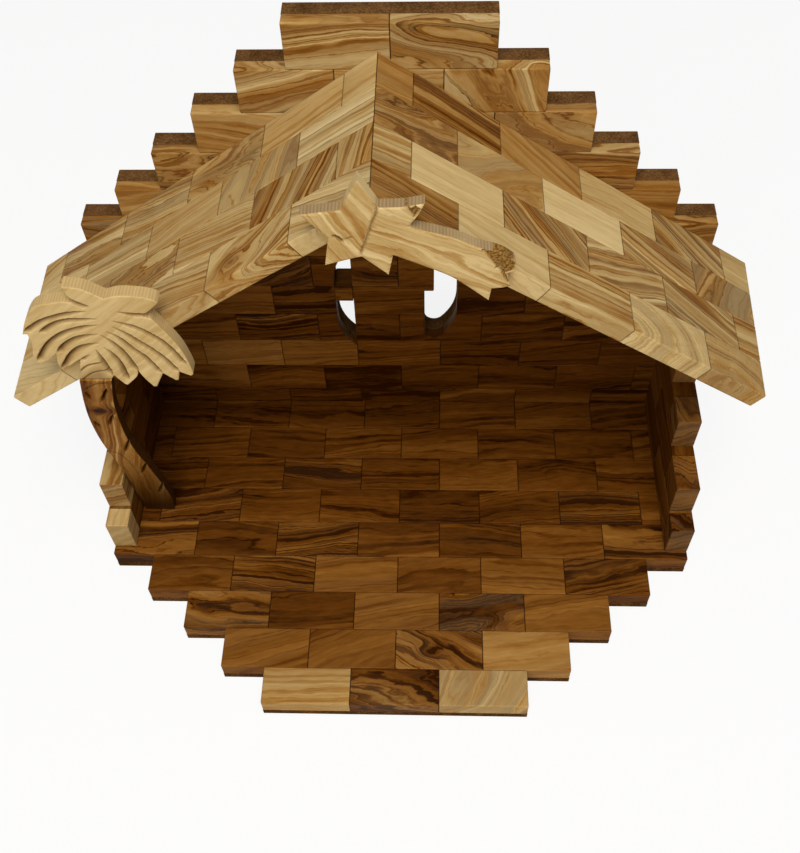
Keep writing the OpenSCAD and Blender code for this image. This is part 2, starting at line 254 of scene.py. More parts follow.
def pencil_lines(node, layer, lines, weak):
    """Thin contours, one for each time that slow noise passes its middle."""
    pencil = around_zero(node, by_layer(node, layer, PENCIL_MM, 1, 0.5))
    pencil = node("Math ABSOLUTE", pencil)
    pencil = node("Math MULTIPLY_ADD", pencil, *PENCIL, use_clamp=True)
    share = node("Math MULTIPLY_ADD", lines, PENCIL_MORE, PENCIL_LEAST)
    return node("Math MULTIPLY", node("Math MULTIPLY", pencil, share), weak)


print("pencil lines about every", PENCIL_MM, "mm")

# %% Sawn edges, knife cuts and bark of a carved piece
BARK = [(0.36, "#482C0F"), (0.5, "#74501F"), (0.64, "#9A7238")]
FLAKES_PER_MM, WORN_SPOTS_PER_MM = 0.7, 0.35


def carved_colour(node, colour, grain, sawn):
    """The colour with saw strokes, cuts darkened with painted shade and bark over it, and the
    strokes' height.
    """
    run, edge, stain, bark = (node("Attribute", attribute_name=key, out="Fac")
                              for key in ("edge_run_mm", "sawn", "stain", "bark"))
    stripes = node("Math MULTIPLY", run, 2 * math.pi / STRIPE_MM)
    stripes = node("Math MULTIPLY_ADD", node("Math SINE", stripes), 0.5, 0.5)
    worn = node("TexNoise", run, WORN_SPOTS_PER_MM, 2, 0.6, noise_dimensions="1D")
    shade = node("Math MULTIPLY_ADD", stripes, 0.55, node("Math MULTIPLY", worn, 0.6),
                 use_clamp=True)
    shade = node("Mix", shade, sawn[0], sawn[1], data_type="RGBA")
    flakes = node("TexNoise", grain, FLAKES_PER_MM, 3, 0.6)
    flakes = node("ValToRGB", flakes, stops=BARK)
    # Saw strokes, then the third colour: painted shade in the cuts and at the trunk's foot, dark
    # lines and the darker neck; then bark
    for share, over in ((edge, shade), (stain, sawn[2]), (bark, flakes)):
        colour = node("Mix", share, colour, over, data_type="RGBA")
    return colour, node("Math MULTIPLY", edge, stripes)


print("one stroke of the saw every", STRIPE_MM, "mm")

# %% Olive wood material
def olive_wood(name, roughness=0.5, sawn=None):
    """Oiled olive wood. A carved piece also names two colours of sawn edges, which on the trunk are
    painted shade, and one dark colour for painted shade in its cuts and for its dark lines.
    """
    material, node = empty_material(name)
    grain, knot = (node("Attribute", attribute_name=key, out="Vector")
                   for key in ("grain_mm", "knot_mm"))
    figure = node("Attribute", attribute_name="figure", out="Color")
    tone, contrast, lines = (node("SeparateColor", figure, out=i) for i in range(3))
    bend = node("Attribute", attribute_name="figure", out="Alpha")
    smoke, end, seam = (node("Attribute", attribute_name=key, out="Fac")
                        for key in ("smoke", "end_grain", "seam"))
    layer, core = layer_of(node, grain, knot, bend)

    # Patches in which the bold lines are strong, and others in which the pencil lines are
    patch = field(node, grain, PATCH_MM, (31, 17, 3), 1.5, 0.5)
    strong = node("Math MULTIPLY_ADD", patch, *STRONG, use_clamp=True)
    weak = node("Math MULTIPLY_ADD", patch, *WEAK, use_clamp=True)
    bold = bold_lines(node, layer, lines, strong)
    pencil = pencil_lines(node, layer, lines, weak)

    # The tone is a sum: bands and drift, fibres, a darker knot and darker pencil lines
    steps = around_zero(node, by_layer(node, layer, BAND_MM, 4, 0.62))
    drift = around_zero(node, field(node, grain, DRIFT_MM, (13, 8, 2), 1, 0.5))
    fibre = around_zero(node, field(node, grain, FIBRE_MM, (1, 2, 3), 2, 0.6))
    sway = node("Math MULTIPLY_ADD", steps, BAND_TONE, node("Math MULTIPLY", drift, DRIFT_TONE))
    value = node("Math MULTIPLY_ADD", contrast, sway, tone)
    for part, change in ((fibre, FIBRE_TONE), (core, KNOT_TONE), (pencil, PENCIL_TONE)):
        value = node("Math MULTIPLY_ADD", part, change, value)
    colour = node("ValToRGB", value, stops=TONES)

    # Over it lie smoke, the bold lines, greyer end grain, and glue and painted shade in the seams
    haze = by_layer(node, layer, SMOKE_MM, 2, 0.5, 40)
    haze = node("Math MULTIPLY_ADD", haze, *HAZE, use_clamp=True)
    haze = node("Math MULTIPLY", haze, smoke)
    grey = node("Mix", tone, SOOT, SMOKE, data_type="RGBA")
    end = node("Math MULTIPLY", end, END_SHARE)
    # Glue and painted shade darken the seams
    seam = node("Math MULTIPLY", seam, SEAM_SHARE)
    for share, over in ((haze, grey), (bold, UMBER), (end, END_GRAIN), (seam, UMBER)):
        colour = node("Mix", share, colour, over, data_type="RGBA")
    raised = node("Math MULTIPLY_ADD", steps, 0.5, fibre)
    if sawn:
        colour, strokes = carved_colour(node, colour, grain, sawn)
        raised = node("Math MULTIPLY_ADD", strokes, 0.8, raised)

    # Nearly matt from rubbing with oil: the dark lines are denser and a little smoother
    polish = node("Math MULTIPLY_ADD", fibre, 0.2, roughness)
    polish = node("Math MULTIPLY_ADD", bold, -0.08, polish)
    grooves = node("Bump", named={"Strength": 0.5, "Distance": 0.00006, "Height": raised})
    surface = node("BsdfPrincipled", named={"Base Color": colour, "Roughness": polish,
                                            "Specular IOR Level": 0.02, "Normal": grooves})
    node("OutputMaterial", surface)
    return material


woods = {slot: olive_wood("oiled olive wood, " + slot.replace("_", " "))
         for slot in ("floor_brick", "wall_brick", "side_brick", "roof_brick")}
# Two colours of saw strokes and one dark colour for painted shade in cuts and for dark lines. The
# trunk's two saw colours are painted shade on its sides, which look sideways and down.
SAWN_AND_SHADE_COLOURS = {"star_wood": ("#7A6345", "#9A815B", "#62431C"),
                "crown_wood": ("#8E7046", "#B99A63", "#5A330A"),
                "trunk_wood": ("#2C1708", "#4E3013", "#2A1402")}
woods.update({slot: olive_wood("carved olive wood, " + slot.replace("_", " "), 0.45, colours)
              for slot, colours in SAWN_AND_SHADE_COLOURS.items()})
print("olive wood in", len(woods), "finishes")

# %% [markdown]
# Fibreboard and the board's edge.
# The back is a fibreboard, sawn and left raw: it is brown, matt and speckled with
# fibres about a millimetre long. Position in the object's own space is enough here,
# because nothing in the board runs along a grain.

# %% Fibreboard material
# Fibres and blotches
FLUFF_MM, BLOTCH_MM = 0.8, 25 / 3


def fibreboard(name, ground, dark, light):
    """Raw sawn fibreboard with short fibres in two shades."""
    material, node = empty_material(name)
    place = node("TexCoord", out="Object")
    fluff = node("TexNoise", place, 1 / (FLUFF_MM * MM), 2, 0.6)
    blotches = node("TexNoise", place, 1 / (BLOTCH_MM * MM), 3, 0.55)
    blotches = node("Math MULTIPLY", blotches, 0.4)
    mixed = node("Math MULTIPLY_ADD", fluff, 0.6, blotches)
    colour = node("ValToRGB", mixed, stops=[(0.34, dark), (0.5, ground), (0.66, light)])
    raised = node("Bump", named={"Strength": 0.6, "Distance": 0.0002, "Height": fluff})
    surface = node("BsdfPrincipled", named={"Base Color": colour, "Roughness": 0.92,
                                            "Specular IOR Level": 0.0, "Normal": raised})
    node("OutputMaterial", surface)
    return material


raw_board = fibreboard("raw fibreboard", "#593C20", "#3A2410", "#73532F")
# The floor board is darker than the back board
floor_edge = fibreboard("stained base board", "#4A2F16", "#2E1A08", "#6A4A28")
print("boards:", raw_board.name, "and", floor_edge.name)

# %% [markdown]
# Bricks with eased edges.
# The rows were sanded flush, so a seam is only a hairline, while the outer edges were
# eased by hand and catch the light. A ray from the middle of each face tells whether it
# is glued to a neighbour. Edges between two free faces get the wide bevel and all others
# a narrow one, by one weight for each edge.

# %% Find glued faces
GLUE_REACH_MM = 0.5


def solid_from(node):
    """A copy of a node's solids, welded, with flat faces in one piece."""
    shape = bmesh.new()
    shape.from_mesh(nodes[node].data)
    bmesh.ops.remove_doubles(shape, verts=shape.verts, dist=0.001 * MM)
    bmesh.ops.dissolve_limit(shape, angle_limit=math.radians(1), verts=shape.verts,
                             edges=shape.edges)
    return shape


def all_faces():
    """One search tree over every solid, to find what a face is glued to."""
    points, faces = [], []
    for item in nodes.values():
        start = len(points)
        points += [v.co.copy() for v in item.data.vertices]
        faces += [[start + i for i in p.vertices] for p in item.data.polygons]
    return BVHTree.FromPolygons(points, faces)


neighbours = all_faces()


def is_glued(face):
    start = face.calc_center_median() + face.normal * 0.02 * MM
    return neighbours.ray_cast(start, face.normal, GLUE_REACH_MM * MM)[0] is not None


print("search tree ready for", len(nodes), "nodes")

# %% Ease the edges
EASED_MM, HAIRLINE_SHARE = 0.55, 0.3


def eased(shape, name, width_mm=EASED_MM):
    """A new object with the shape's outer edges eased and its seams kept fine."""
    weight = shape.edges.layers.float.new("bevel_weight_edge")
    glued = {face.index: is_glued(face) for face in shape.faces}
    for edge in shape.edges:
        if len(edge.link_faces) == 2 and edge.calc_face_angle() > math.radians(20):
            hidden = any(glued[face.index] for face in edge.link_faces)
            edge[weight] = HAIRLINE_SHARE if hidden else 1.0
    mesh = bpy.data.meshes.new(name)
    shape.to_mesh(mesh)
    shape.free()
    piece = put(name, mesh)
    bevel = piece.modifiers.new("eased edges", "BEVEL")
    bevel.limit_method = "WEIGHT"
    bevel.width = width_mm * MM
    bevel.segments = 2
    graph = bpy.context.evaluated_depsgraph_get()
    finished = bpy.data.meshes.new_from_object(piece.evaluated_get(graph))
    finished.name = name
    piece.modifiers.clear()
    piece.data = finished
    return piece


print("outer edges eased by", EASED_MM, "mm, seams by", HAIRLINE_SHARE * EASED_MM, "mm")

# %% [markdown]
# A grain for every brick.
# Each brick was cut from another place in the log. Its grain coordinates say where:
# the first number runs along the grain, the other two across it, all in millimetres.
# They start from the brick's own middle, are turned a few degrees, rolled about the
# grain to show lines or loops, and moved to a random place in the log. The brick's own
# name is the seed of its random numbers, so every run gives the same log.

# %% Kinds of figure
# Tone, contrast, dark lines, bend of the layers, smoke, roll in degrees, width of the bands
KINDS = {
    "cream": (0.94, 0.16, 0.05, 0.06, 0.00, 30, 1.3),
    "pale": (0.82, 0.28, 0.15, 0.10, 0.15, 35, 1.2),
    "golden": (0.66, 0.34, 0.25, 0.15, 0.05, 35, 1.2),
    "cloud": (0.74, 0.36, 0.20, 0.40, 0.60, 72, 1.4),
    "plain": (0.54, 0.26, 0.15, 0.15, 0.10, 40, 1.3),
    "brown": (0.30, 0.30, 0.15, 0.20, 0.05, 45, 1.3),
    "lined": (0.78, 0.50, 0.60, 0.09, 0.25, 12, 0.9),
    "streaked": (0.62, 0.60, 0.70, 0.14, 0.25, 18, 0.9),
    "banded": (0.70, 0.65, 0.75, 0.14, 0.40, 14, 0.85),
    "swirl": (0.66, 0.60, 0.70, 0.45, 0.30, 72, 1.0),
    "grey": (0.66, 0.45, 0.45, 0.35, 0.70, 68, 1.1),
    "arcs": (0.78, 0.30, 0.30, 0.06, 0.35, 20, 0.6),
    "burl": (0.54, 0.50, 0.65, 0.35, 0.20, 50, 0.9),
    "murky": (0.36, 0.45, 0.55, 0.24, 0.10, 30, 1.0),
    "dark": (0.17, 0.26, 0.12, 0.20, 0.00, 40, 1.3),
}
print("kinds of figure:", ", ".join(KINDS))

# %% The bricks of a mesh, and numbers kept on them
def islands(mesh):
    """The separate bricks of a mesh, as lists of vertex indices."""
    parent = list(range(len(mesh.vertices)))

    def root(i):
        while parent[i] != i:
            parent[i] = parent[parent[i]]
            i = parent[i]
        return i

    for edge in mesh.edges:
        a, b = (root(i) for i in edge.vertices)
        parent[a] = b
    groups = {}
    for i in range(len(parent)):
        groups.setdefault(root(i), []).append(i)
    return list(groups.values())


def store(mesh, domain, **kept):
    """Keeps numbers, vectors or colours for all points or all faces, each under its name."""
    for name, values in kept.items():
        values = np.array(values, np.float32)
        kind, key = {1: ("FLOAT", "value"), 3: ("FLOAT_VECTOR", "vector"),
                     4: ("FLOAT_COLOR", "color")}[values[0].size]
        mesh.attributes.new(name, kind, domain).data.foreach_set(key, values.ravel())


print("corners to sort into bricks:", sum(len(n.data.vertices) for n in nodes.values()))

# %% The grain of each brick
# The log, and the way from a brick's middle to the middle of its rings
LOG_MM, ARC_MM = 900, 22
# How much direction, roll and tone differ by chance from brick to brick
WAY_LUCK, ROLL_LUCK, TONE_LUCK = 4, 8, 0.03
# Faces narrower than this are the eased edges of a seam
SEAM_MM = 0.25


def in_the_log(local, way, roll):
    """Coordinates of a brick after a turn within its face and a roll about the grain."""
    way, roll = math.radians(way), math.radians(roll)
    turning = np.array(((math.cos(way), math.sin(way), 0), (-math.sin(way), math.cos(way), 0),
                        (0, 0, 1)))
    rolling = np.array(((1, 0, 0), (0, math.cos(roll), math.sin(roll)),
                        (0, -math.sin(roll), math.cos(roll))))
    return local @ turning.T @ rolling.T


def lay_grain(piece, kinds, along, outward, order):
    """Gives every brick its kind of figure and its place in the log.

    Each brick is written as its kind, the rise of its lines to the right in degrees, which
    is small and random if left out, and how much lighter it is. For arcs the first number
    is the way to their middle. If a row has more bricks, its list starts again.
    """
    kinds = [(kind, *map(float, numbers)) for kind, *numbers in map(str.split, kinds.split(","))]
    mesh = piece.data
    places = np.array([v.co for v in mesh.vertices], np.float32)
    along = Vector(along).normalized()
    outward = Vector(outward).normalized()
    frame_axes = np.array((along, outward.cross(along), outward))
    grain = np.zeros_like(places)
    knot = np.full_like(places, 1000.0)
    figure = np.zeros((len(places), 4))
    smoke, rings = np.zeros(len(places)), np.zeros(len(places))
    bricks = sorted(islands(mesh), key=lambda b: order(places[b].mean(0)))
    for i, brick in enumerate(bricks):
        luck = random.Random(f"{piece.name} {i}")
        given = kinds[i % len(kinds)]
        kind, way, lighter = given + (luck.uniform(-WAY_LUCK, WAY_LUCK), 0.0)[len(given) - 1:]
        tone, contrast, lines, bend, haze, roll, width = KINDS[kind]
        local = (places[brick] - places[brick].mean(0)) @ frame_axes.T / MM
        place = in_the_log(local, way, roll + luck.uniform(-ROLL_LUCK, ROLL_LUCK)) / width
        grain[brick] = place + [luck.uniform(0, LOG_MM) for _ in "xyz"]
        half = np.abs(local).max(0)
        if kind == "burl":
            knot[brick] = local - half * (luck.uniform(-0.5, 0.5), luck.uniform(-0.4, 0.4), 1)
        elif kind == "arcs":
            turn = math.radians(way)
            middle = ARC_MM * math.cos(turn), ARC_MM * math.sin(turn), half[2]
            knot[brick] = (local - middle) / width
            rings[brick] = 1.0
        tone += lighter + luck.uniform(-TONE_LUCK, TONE_LUCK)
        figure[brick] = (tone, contrast, lines, bend)
        smoke[brick] = haze
    store(mesh, "POINT", grain_mm=grain, knot_mm=knot, figure=figure, smoke=smoke, rings=rings)
    store(mesh, "FACE", end_grain=[abs(p.normal.dot(along)) > 0.8 for p in mesh.polygons])
    lengths = [(mesh.vertices[a].co - mesh.vertices[b].co).length / MM
               for a, b in (edge.vertices for edge in mesh.edges)]
    store(mesh, "FACE", seam=[min(lengths[mesh.loops[i].edge_index] for i in p.loop_indices)
                              < SEAM_MM for p in mesh.polygons])
    return len(bricks)


print("rings have their middle", ARC_MM, "mm from a brick's")

# %% Dress a node
def hand_over(piece, node, material):
    """Gives a finished piece its material and puts it in the place of its node."""
    piece.data.materials.clear()
    piece.data.materials.append(material)
    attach(piece, "root")
    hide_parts(node)
    return piece


def left_to_right(middle):
    return middle[0]


def dress(node, kinds, slot, along=(1, 0, 0), outward=(0, -1, 0), order=left_to_right):
    """Replaces one node by bricks with eased edges and a figure of their own."""
    piece = eased(solid_from(node), node + "_bricks")
    count = lay_grain(piece, kinds, along, outward, order)
    hand_over(piece, node, woods[slot])
    return count


print("slots of wood:", ", ".join(woods))

# %% [markdown]
# The floor.
# Nine rows of bricks lie on a thin board, and the front rows step out towards the
# viewer. The lists run from left to right. Towards the back, and most under the roof,
# the bricks are darker: partly darker wood and partly painted shade.

# %% Floor rows
# The darker kinds and lower tones towards the back are partly painted shade
FLOOR_ROWS = [
    "pale 2 -0.13, swirl 0 -0.4, cloud 60",
    "plain 15 -0.22, brown 25 -0.02, burl -30 -0.16, plain 5 -0.02",
    "swirl -8 -0.3, brown 2 -0.15, plain 5 -0.2, swirl 15 -0.3, brown 5 0.04",
    "brown 0 -0.08, murky -6 -0.1, plain 3 -0.16, brown 10 -0.06, brown -4 0.05, murky 10 -0.14",
    "murky 2 -0.14, brown 0 -0.1, murky 8 -0.16, brown 4 -0.08, "
    "brown -6 -0.1, dark 3 0.08, murky -3 -0.08",
    "dark 4, murky 5 -0.16, dark 3 0.04, dark -3, brown 2 -0.2, dark 6, murky 3 -0.16",
    "dark 3, dark 5 0.03, murky -4 -0.16, dark 2, dark 5 0.03, dark 3",
    "dark 3 0.02, dark 5, dark -4, dark 2 0.03, dark 5, dark 3",
    "dark 3, dark 5 0.03, dark -4, dark 2, dark 5, dark 3",
]
made = [dress(f"floor_row_{row}", kinds, "floor_brick", outward=(0, 0, 1))
        for row, kinds in enumerate(FLOOR_ROWS, 1)]
print("floor bricks in each row:", made)

# %% [markdown]
# The back wall and its gable.
# Twelve courses of thin bricks, counted from the top. Some of them rise above the roof
# in steps, and the rest form the dark room under it, whose darker bricks are partly
# darker wood and partly painted shade. A short strip crosses the left light of the
# window; its brown is partly painted shade too.

# %% Wall courses
WALL_COURSES = [
    "streaked 4 0.08, swirl -12",
    "streaked 16 0.02, golden 0 0.02, swirl -60 -0.08",
    "golden -6 -0.02, plain 3, plain 4, swirl -12 -0.14",
    "swirl 4 -0.1, golden 0 -0.06, plain 0, brown 2, streaked -4 -0.08",
    "plain 6 0.04, plain 3 -0.04, brown 2 -0.06, dark 3 0.1, brown 4 -0.04, plain -3 -0.08",
    "grey -3 -0.14, plain 2 -0.16, dark 4 0.1, dark 2 0.06, dark 3 0.05, "
    "brown 3 -0.06, streaked 4 -0.14",
    "brown 3 -0.04, brown 4 -0.08, burl 20 -0.36, dark 3 0.02, murky 4 -0.16, "
    "dark 3, brown -2 -0.18",
    "dark 3, brown 2, murky 6 -0.16, dark 4 0.04, brown 3 -0.2, dark 2, dark -3",
    "brown 4 -0.1, brown 2 -0.04, murky 5 -0.16, dark 3, brown -3 -0.2, dark 2, dark 4",
    "brown 3 0.08, plain 4 -0.1, brown 3 0.04, dark 3 0.04, dark 2, dark 4, brown 3 -0.1",
    "brown 3 -0.1, brown 2 -0.1, dark 3 -0.06, dark 3 -0.08, dark 4, dark 3, dark 2",
    "dark 3, dark 2 -0.04, dark 3 -0.06, dark 3 -0.08, dark 4, dark 3, dark 2",
]
made = [dress(f"back_wall_course_{row}", kinds, "wall_brick")
        for row, kinds in enumerate(WALL_COURSES, 1)]
made.append(dress("window_crosspiece", "brown 0 -0.06", "wall_brick"))
print("wall bricks in each course:", made)

# %% [markdown]
# The side walls.
# Their bricks lie with the grain from front to back, so the stepped front ends show
# end grain.

# %% Side walls
def front_to_back(middle):
    return middle[1]


# Behind the front ends the bricks are darker: partly darker wood and partly painted shade under the
# roof
SIDE_COURSES = {
    "left": ["pale 2 -0.04, brown 3, dark 2", "lined 3 -0.14, brown 2, dark 4",
             "murky 4 0.04, dark 3 0.06, brown 2", "streaked 3 -0.25, dark 3",
             "brown 2, dark 4 0.05", "dark 3 0.06, brown 2"],
    "right": ["streaked 30 -0.4, brown 3, dark 2", "streaked 25 -0.36, dark 2 0.04, brown 4",
              "streaked 10 -0.2, brown 3, dark 2", "plain 3 -0.08, dark 3 0.05",
              "streaked 2 -0.24, dark 4", "golden 3 -0.1, brown 2"],
}
for side, outward in (("left", -1), ("right", 1)):
    made = [dress(f"{side}_wall_course_{row}", kinds, "side_brick", (0, -1, 0), (outward, 0, 0),
                  front_to_back) for row, kinds in enumerate(SIDE_COURSES[side], 1)]
    print(side, "wall bricks in each course:", made)

# %% [markdown]
# The roof.
# Two slopes of four rows each, counted from the rear, mitred at the ridge. The lists
# run from the ridge down to the eaves. It faces the viewer, so this is the palest and
# most varied wood.

# %% Roof slopes
RIDGE_X_MM = -4.6


def from_ridge(middle):
    return abs(middle[0] - RIDGE_X_MM * MM)


SLOPE_ANGLES = {"left": math.radians(35.6), "right": math.radians(34.4)}
ROOF_ROWS = {
    "right": [
        "plain 5 0.04, streaked -4 -0.12, plain -28, golden 4 0.14, banded -30 -0.06, pale -3",
        "swirl 16 -0.06, cloud 30, cream 2, banded -17, grey 60 0.04",
        "lined 7, cream -3 -0.03, banded -42 -0.04, banded 18 0.04, "
        "banded -18 0.02, lined 2 -0.06",
        "streaked -5 -0.1, pale -10 0.08, lined 1 -0.06, arcs 200 0.08, arcs 250 -0.08",
    ],
    "left": [
        "pale 1 -0.04, pale 5 -0.04, swirl -8 0.04, banded -12 -0.02, "
        "streaked -8 0.08, golden 20 0.14",
        "lined -2 0.12, grey 70 0.06, pale 2 -0.08, lined -3 0.06, golden 5 0.14",
        "streaked 80 0.08, banded 65 -0.06, lined -11, swirl 8 0.06, cloud 10, pale 5",
        "lined -14 0.1, burl 30 0.24, lined -10 0.1, pale 4 0.04, pale -14 0.18",
    ],
}
for side, rows in ROOF_ROWS.items():
    angle = SLOPE_ANGLES[side]
    way = 1 if side == "right" else -1
    down = (way * math.cos(angle), 0, -math.sin(angle))
    out = (way * math.sin(angle), 0, math.cos(angle))
    made = [dress(f"{side}_roof_row_{row}", kinds, "roof_brick", down, out, from_ridge)
            for row, kinds in enumerate(rows, 1)]
    print(side, "roof bricks in each row:", made)

# %% [markdown]
# The boards.
# The fibreboard has the steps of the gable and the window, and the floor board has the
# steps of the floor. Both only need eased edges and a raw surface.

# %% Boards
BOARD_EASED_MM = 0.3
for node, slot, finish in (("back_board", "fibreboard", raw_board),
                           ("floor_board", "base_board", floor_edge)):
    piece = hand_over(eased(solid_from(node), node + "_sawn", BOARD_EASED_MM), node, finish)
    print(piece.name, "has", len(piece.data.polygons), "faces")

# %% [markdown]
# Carved plates.
# The star, the crown and the trunk were sawn from flat wood and then carved with a
# knife. A plate starts from the outline of its solid, rounded where the saw ran on. A
# fine net of triangles fills it, by Delaunay triangulation with the lines of the knife
# as fixed edges, so a cut keeps a sharp bottom. Then each point of the front moves back
# by the depth of the cuts.

# %% Outlines of plates
def front_outline(node):
    """The outline of a node's front face, in metres, in order."""
    shape = solid_from(node)
    front = max(shape.faces, key=lambda f: f.calc_area() * max(0.0, -f.normal.y))
    outline = [v.co.copy() for v in front.verts]
    shape.free()
    return outline


def rounded(points, step_mm=0.8, corner=math.radians(42)):
    """A closed outline with smooth runs between its sharp corners."""
    points = [np.array(p, float) for p in points]
    count = len(points)
    result = []
    for i in range(count):
        before, here, there, after = (points[(i + k) % count] for k in (-1, 0, 1, 2))

        def slope(a, b, c, leaving):
            first, second = b - a, c - b
            angle = abs(math.atan2(first[0] * second[1] - first[1] * second[0], first @ second))
            return (second if leaving else first) if angle > corner else (c - a) / 2

        start = slope(before, here, there, True)
        stop = slope(here, there, after, False)
        steps = max(1, round(np.linalg.norm(there - here) / step_mm))
        for k in range(steps):
            t = k / steps
            result.append((2 * t ** 3 - 3 * t ** 2 + 1) * here + (t ** 3 - 2 * t ** 2 + t) * start
                          + (3 * t ** 2 - 2 * t ** 3) * there + (t ** 3 - t ** 2) * stop)
    return result


def inside(points, outline):
    """Which points lie inside a closed outline."""
    crossings = np.zeros(len(points), int)
    for a, b in zip(outline, outline[1:] + outline[:1]):
        spans = (a[1] > points[:, 1]) != (b[1] > points[:, 1])
        if b[1] != a[1]:
            at = a[0] + (points[:, 1] - a[1]) * (b[0] - a[0]) / (b[1] - a[1])
            crossings += spans & (points[:, 0] < at)
    return crossings % 2 == 1


print("corners of the star's outline:", len(front_outline("comet_star")))

# %% Knife lines
def to_line(points, line):
    """Distance of points to a line, which side they are on, and how far along it."""
    best = np.full(len(points), 1e9)
    side = np.zeros(len(points))
    run = np.zeros(len(points))
    done = 0.0
    for a, b in zip(line, line[1:]):
        a, b = np.array(a, float), np.array(b, float)
        length = np.linalg.norm(b - a)
        way = (b - a) / length
        t = np.clip((points - a) @ way, 0, length)
        off = points - (a + t[:, None] * way)
        gap = np.linalg.norm(off, axis=1)
        upright = np.array((-way[1], way[0]))
        upright = upright if upright[1] >= 0 else -upright
        closer = gap < best
        best[closer] = gap[closer]
        side[closer] = np.sign(off[closer] @ upright)
        run[closer] = done + t[closer]
        done += length
    return best, side, run, done


def smooth_line(line, step_mm=0.8):
    """A knife line through its points, as short straight steps."""
    line = [np.array(p, float) for p in line]
    padded = [2 * line[0] - line[1]] + line + [2 * line[-1] - line[-2]]
    result = []
    for a, b, c, d in zip(padded, padded[1:], padded[2:], padded[3:]):
        steps = max(1, round(np.linalg.norm(c - b) / step_mm))
        for k in range(steps):
            t = k / steps
            result.append(0.5 * (2 * b + (c - a) * t + (2 * a - 5 * b + 4 * c - d) * t ** 2
                                 + (3 * b - a - 3 * c + d) * t ** 3))
    return result + [line[-1]]


print("steps in a knife line of 8 mm:", len(smooth_line([(0, 0), (8, 0)])) - 1)

# %% A net of triangles
# The net stays this share of a step away from lines, and lines this far from the rim
CLEAR_SHARE, CLEAR_RIM_MM = 0.45, 0.2


def net(outline, lines, step_mm):
    """Triangles that fill an outline, with the outline and the knife lines as edges."""
    low, high = np.min(outline, 0), np.max(outline, 0)
    row_step = step_mm * math.sqrt(3) / 2
    rows = int((high[1] - low[1]) / row_step) + 1
    grid = np.array([(low[0] + (i + 0.5 * (row % 2)) * step_mm, low[1] + row * row_step)
                     for row in range(rows)
                     for i in range(int((high[0] - low[0]) / step_mm) + 2)])
    grid = grid[inside(grid, outline)]
    rim = outline + outline[:1]
    for line in [rim] + lines:
        grid = grid[to_line(grid, line)[0] > CLEAR_SHARE * step_mm]
    points = [Vector(p) for p in outline]
    edges = []
    for line in lines:
        kept = inside(np.array(line), outline) & (to_line(np.array(line), rim)[0] > CLEAR_RIM_MM)
        for before, p, ok in zip([False] + list(kept), line, kept):
            if ok:
                edges += [(len(points) - 1, len(points))] if before else []
                points.append(Vector(p))
    points += [Vector(p) for p in grid]
    found = delaunay_2d_cdt(points, edges, [list(range(len(outline)))], 1, 0.01)
    return np.array([tuple(p) for p in found[0]]), [tuple(f) for f in found[2]]


print("triangles in a small net:", len(net([(0, 0), (4, 0), (4, 4), (0, 4)], [], 1)[1]))

# %% Carve the front of a plate
# The rim is worn this deep over this width, and an edge that isn't sawn gets painted light: its
# tone is raised so that it looks about as bright as the front
WORN_DEPTH_MM, WORN_MM = 0.35, 0.5
EDGE_PAINTED_LIGHT = 0.2
# A cut narrows to this share of its reach, and starts with this share of its depth
NARROWEST, SHALLOWEST = 0.25, 0.1


def carve(points, cuts):
    """Depth in millimetres and darkening of knife cuts, which is painted shade inside the cuts
    and the colour of the dark vein and ring lines.

    A cut is its line, its reach above and below the line, its depth, how dark it is painted,
    and the lengths over which it deepens at its start and at its end.
    """
    depth, stain = np.zeros(len(points)), np.zeros(len(points))
    for line, above, below, deep, dark, start, stop in cuts:
        gap, side, run, length = to_line(points, line)
        taper = np.clip(np.minimum(run / start, (length - run) / stop) + SHALLOWEST, 0, 1)
        reach = np.where(side > 0, above, below) * (NARROWEST + (1 - NARROWEST) * taper)
        share = np.clip(1 - gap / reach, 0, 1)
        depth = np.maximum(depth, deep * taper * share)
        stain = np.maximum(stain, dark * np.sqrt(taper) * share)
    return depth, stain


def lay_patches(points, patches):
    """Recess in millimetres, bark and darkening of the patches that a point lies in. The
    darkening is painted shade at the trunk's foot and a darker tone on the crown's neck.

    A patch is its border, its recess, its bark, how dark it is, and the length over which the
    darkening begins.
    """
    recessed, marks, shaded = (np.zeros(len(points)) for _ in range(3))
    for border, recess, bark, dark, soft_mm in patches:
        edge = to_line(points, border + border[:1])[0]
        within = inside(points, border)
        covered = within & (edge > 0.05)
        recessed = np.maximum(recessed, recess * covered)
        marks = np.maximum(marks, bark * covered)
        shaded = np.maximum(shaded, dark * within * np.clip(edge / soft_mm, 0, 1))
    return recessed, marks, shaded


print("a worn rim of", WORN_MM, "mm")

# %% Build a carved plate
# The edge is four rings of faces from the front to the back
RINGS = 4


def loop_area(outline):
    pairs = zip(outline, outline[1:] + outline[:1])
    return sum(a[0] * b[1] - b[0] * a[1] for a, b in pairs) / 2


def plate_faces(points, triangles, outline):
    """The carved front, the edge and the flat back, all with their normals outwards."""
    count, start = len(outline), len(points)
    front = [f if loop_area([points[i] for i in f]) > 0 else f[::-1] for f in triangles]
    edge = []
    for _ in range(RINGS):
        pairs = [(start + i, start + (i + 1) % count) for i in range(count)]
        edge += [(a, a + count, b + count, b) for a, b in pairs]
        start += count
    edge.append([start + i for i in reversed(range(count))])
    return front + (edge if loop_area(outline) > 0 else [f[::-1] for f in edge])


def plate_grain(mesh, turn_at, width, knot_at):
    """Grain that turns from place to place, and the way to a knot through the whole plate."""
    at = np.array([tuple(v.co / MM) for v in mesh.vertices])
    turns = np.radians(turn_at(at[:, 0], at[:, 2]))
    grain = np.stack((np.cos(turns) * at[:, 0] + np.sin(turns) * at[:, 2],
                      np.cos(turns) * at[:, 2] - np.sin(turns) * at[:, 0], at[:, 1]), axis=1)
    store(mesh, "POINT", grain_mm=grain / width,
          knot_mm=(at - (knot_at[0], 0, knot_at[1])) * (1, 0, 1))


